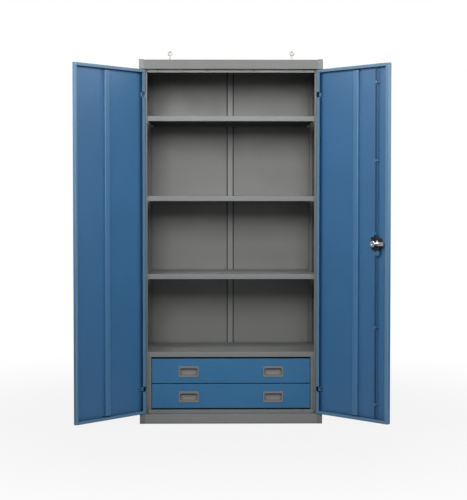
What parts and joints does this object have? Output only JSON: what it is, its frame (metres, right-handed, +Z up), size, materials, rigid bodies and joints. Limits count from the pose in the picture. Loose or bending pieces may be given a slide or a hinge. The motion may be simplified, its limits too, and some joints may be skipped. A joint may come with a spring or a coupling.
{
  "type": "tool cabinet with doors",
  "caption": "Tall steel tool cabinet with hinged double doors, a rod latch, clip-hung shelves and drawers on telescopic runners below.",
  "frame": {"origin": "on the floor, at the centre of the cabinet footprint, which is the centre of the four floor fixing holes", "axes": "+Z up, the doors and drawers face -Y, +X to the right as seen from the front"},
  "size_m": [1.5753, 0.8398, 1.9462],
  "materials": {
    "body_grey": "satin powder coat",
    "trim_grey": "satin powder coat",
    "door_blue": "satin powder coat",
    "drawer_blue": "satin powder coat",
    "zinc": "bright zinc plate",
    "pull_grey": "fine grained",
    "latch_black": "moulded black",
    "lock_chrome": "polished",
    "rubber": "matte"
  },
  "bodies": {
    "cabinet": {"side_panel_left": "body_grey", "side_panel_right": "body_grey", "roof_panel": "body_grey", "header_stop": "trim_grey", "floor_panel": "body_grey", "floor_stop": "trim_grey", "base_frame": "body_grey", "back_panel_left": "trim_grey", "back_panel_right": "trim_grey", "back_rib": "trim_grey", "upright_front_left": "trim_grey", "upright_front_right": "trim_grey", "upright_rear_left": "trim_grey", "upright_rear_right": "trim_grey", "shelf_lower": "trim_grey", "shelf_middle": "trim_grey", "shelf_upper": "trim_grey", "shelf_clips": "zinc", "drawer_deck": "trim_grey", "bay_side_left": "body_grey", "bay_side_right": "body_grey", "runner_outer_members": "zinc", "hinge_arms_left": "body_grey", "hinge_arms_right": "body_grey", "lifting_eyes": "zinc", "eye_nuts": "zinc", "door_bumpers": "rubber"},
    "door_left": {"door_left_panel": "door_blue", "door_left_stiffener": "door_blue", "door_left_hinge_ears": "door_blue"},
    "door_right": {"door_right_panel": "door_blue", "door_right_stiffener": "door_blue", "door_right_hinge_ears": "door_blue", "latch_housing": "latch_black", "handle_rose": "latch_black", "rod_guides": "door_blue"},
    "handle": {"latch_handle": "latch_black", "latch_rotor": "latch_black"},
    "lock": {"lock_cylinder": "lock_chrome", "lock_cam": "lock_chrome"},
    "upper_rod": {"rod_upper": "door_blue"},
    "lower_rod": {"rod_lower": "door_blue"},
    "upper_drawer": {"drawer_upper_front": "drawer_blue", "drawer_upper_box": "body_grey", "drawer_upper_pulls": "pull_grey", "drawer_upper_runners": "zinc"},
    "lower_drawer": {"drawer_lower_front": "drawer_blue", "drawer_lower_box": "body_grey", "drawer_lower_pulls": "pull_grey", "drawer_lower_runners": "zinc"},
    "upper_runner_middle": {"runner_middle_upper": "zinc"},
    "lower_runner_middle": {"runner_middle_lower": "zinc"}
  },
  "joints": [
    {"name": "left_door_hinge", "type": "hinge", "parent": "cabinet", "child": "door_left", "pos_m": [-0.4635, -0.242, 0.95], "axis": [0, 0, -1], "range_deg": [-133, 1]},
    {"name": "right_door_hinge", "type": "hinge", "parent": "cabinet", "child": "door_right", "pos_m": [0.4635, -0.242, 0.95], "axis": [0, 0, 1], "range_deg": [-134, 1]},
    {"name": "upper_rod_slide", "type": "slide", "parent": "door_right", "child": "upper_rod", "axis": [0, 0, 1], "range_m": [0, 0.02545]},
    {"name": "lower_rod_slide", "type": "slide", "parent": "door_right", "child": "lower_rod", "axis": [0, 0, -1], "range_m": [0, 0.02547]},
    {"name": "handle_turn", "type": "hinge", "parent": "door_right", "child": "handle", "pos_m": [0.73149, -0.50799, 0.95], "axis": [-0.7193, -0.6947, 0], "range_deg": [-90, 0]},
    {"name": "lock_turn", "type": "hinge", "parent": "handle", "child": "lock", "pos_m": [0.73149, -0.50799, 0.95], "axis": [-0.7193, -0.6947, 0], "range_deg": [-90, 0]},
    {"name": "upper_drawer_slide", "type": "slide", "parent": "cabinet", "child": "upper_drawer", "axis": [0, -1, 0], "range_m": [0, 0.36]},
    {"name": "lower_drawer_slide", "type": "slide", "parent": "cabinet", "child": "lower_drawer", "axis": [0, -1, 0], "range_m": [0, 0.36]},
    {"name": "upper_runner_slide", "type": "slide", "parent": "cabinet", "child": "upper_runner_middle", "axis": [0, -1, 0], "range_m": [0, 0.18]},
    {"name": "lower_runner_slide", "type": "slide", "parent": "cabinet", "child": "lower_runner_middle", "axis": [0, -1, 0], "range_m": [0, 0.18]}
  ],
  "couplings": [
    {"joint": "handle_turn", "follows": "upper_rod_slide", "rad_per_m": -61.707},
    {"joint": "lower_rod_slide", "follows": "upper_rod_slide", "ratio": 1},
    {"joint": "upper_runner_slide", "follows": "upper_drawer_slide", "ratio": 0.5},
    {"joint": "lower_runner_slide", "follows": "lower_drawer_slide", "ratio": 0.5}
  ]
}
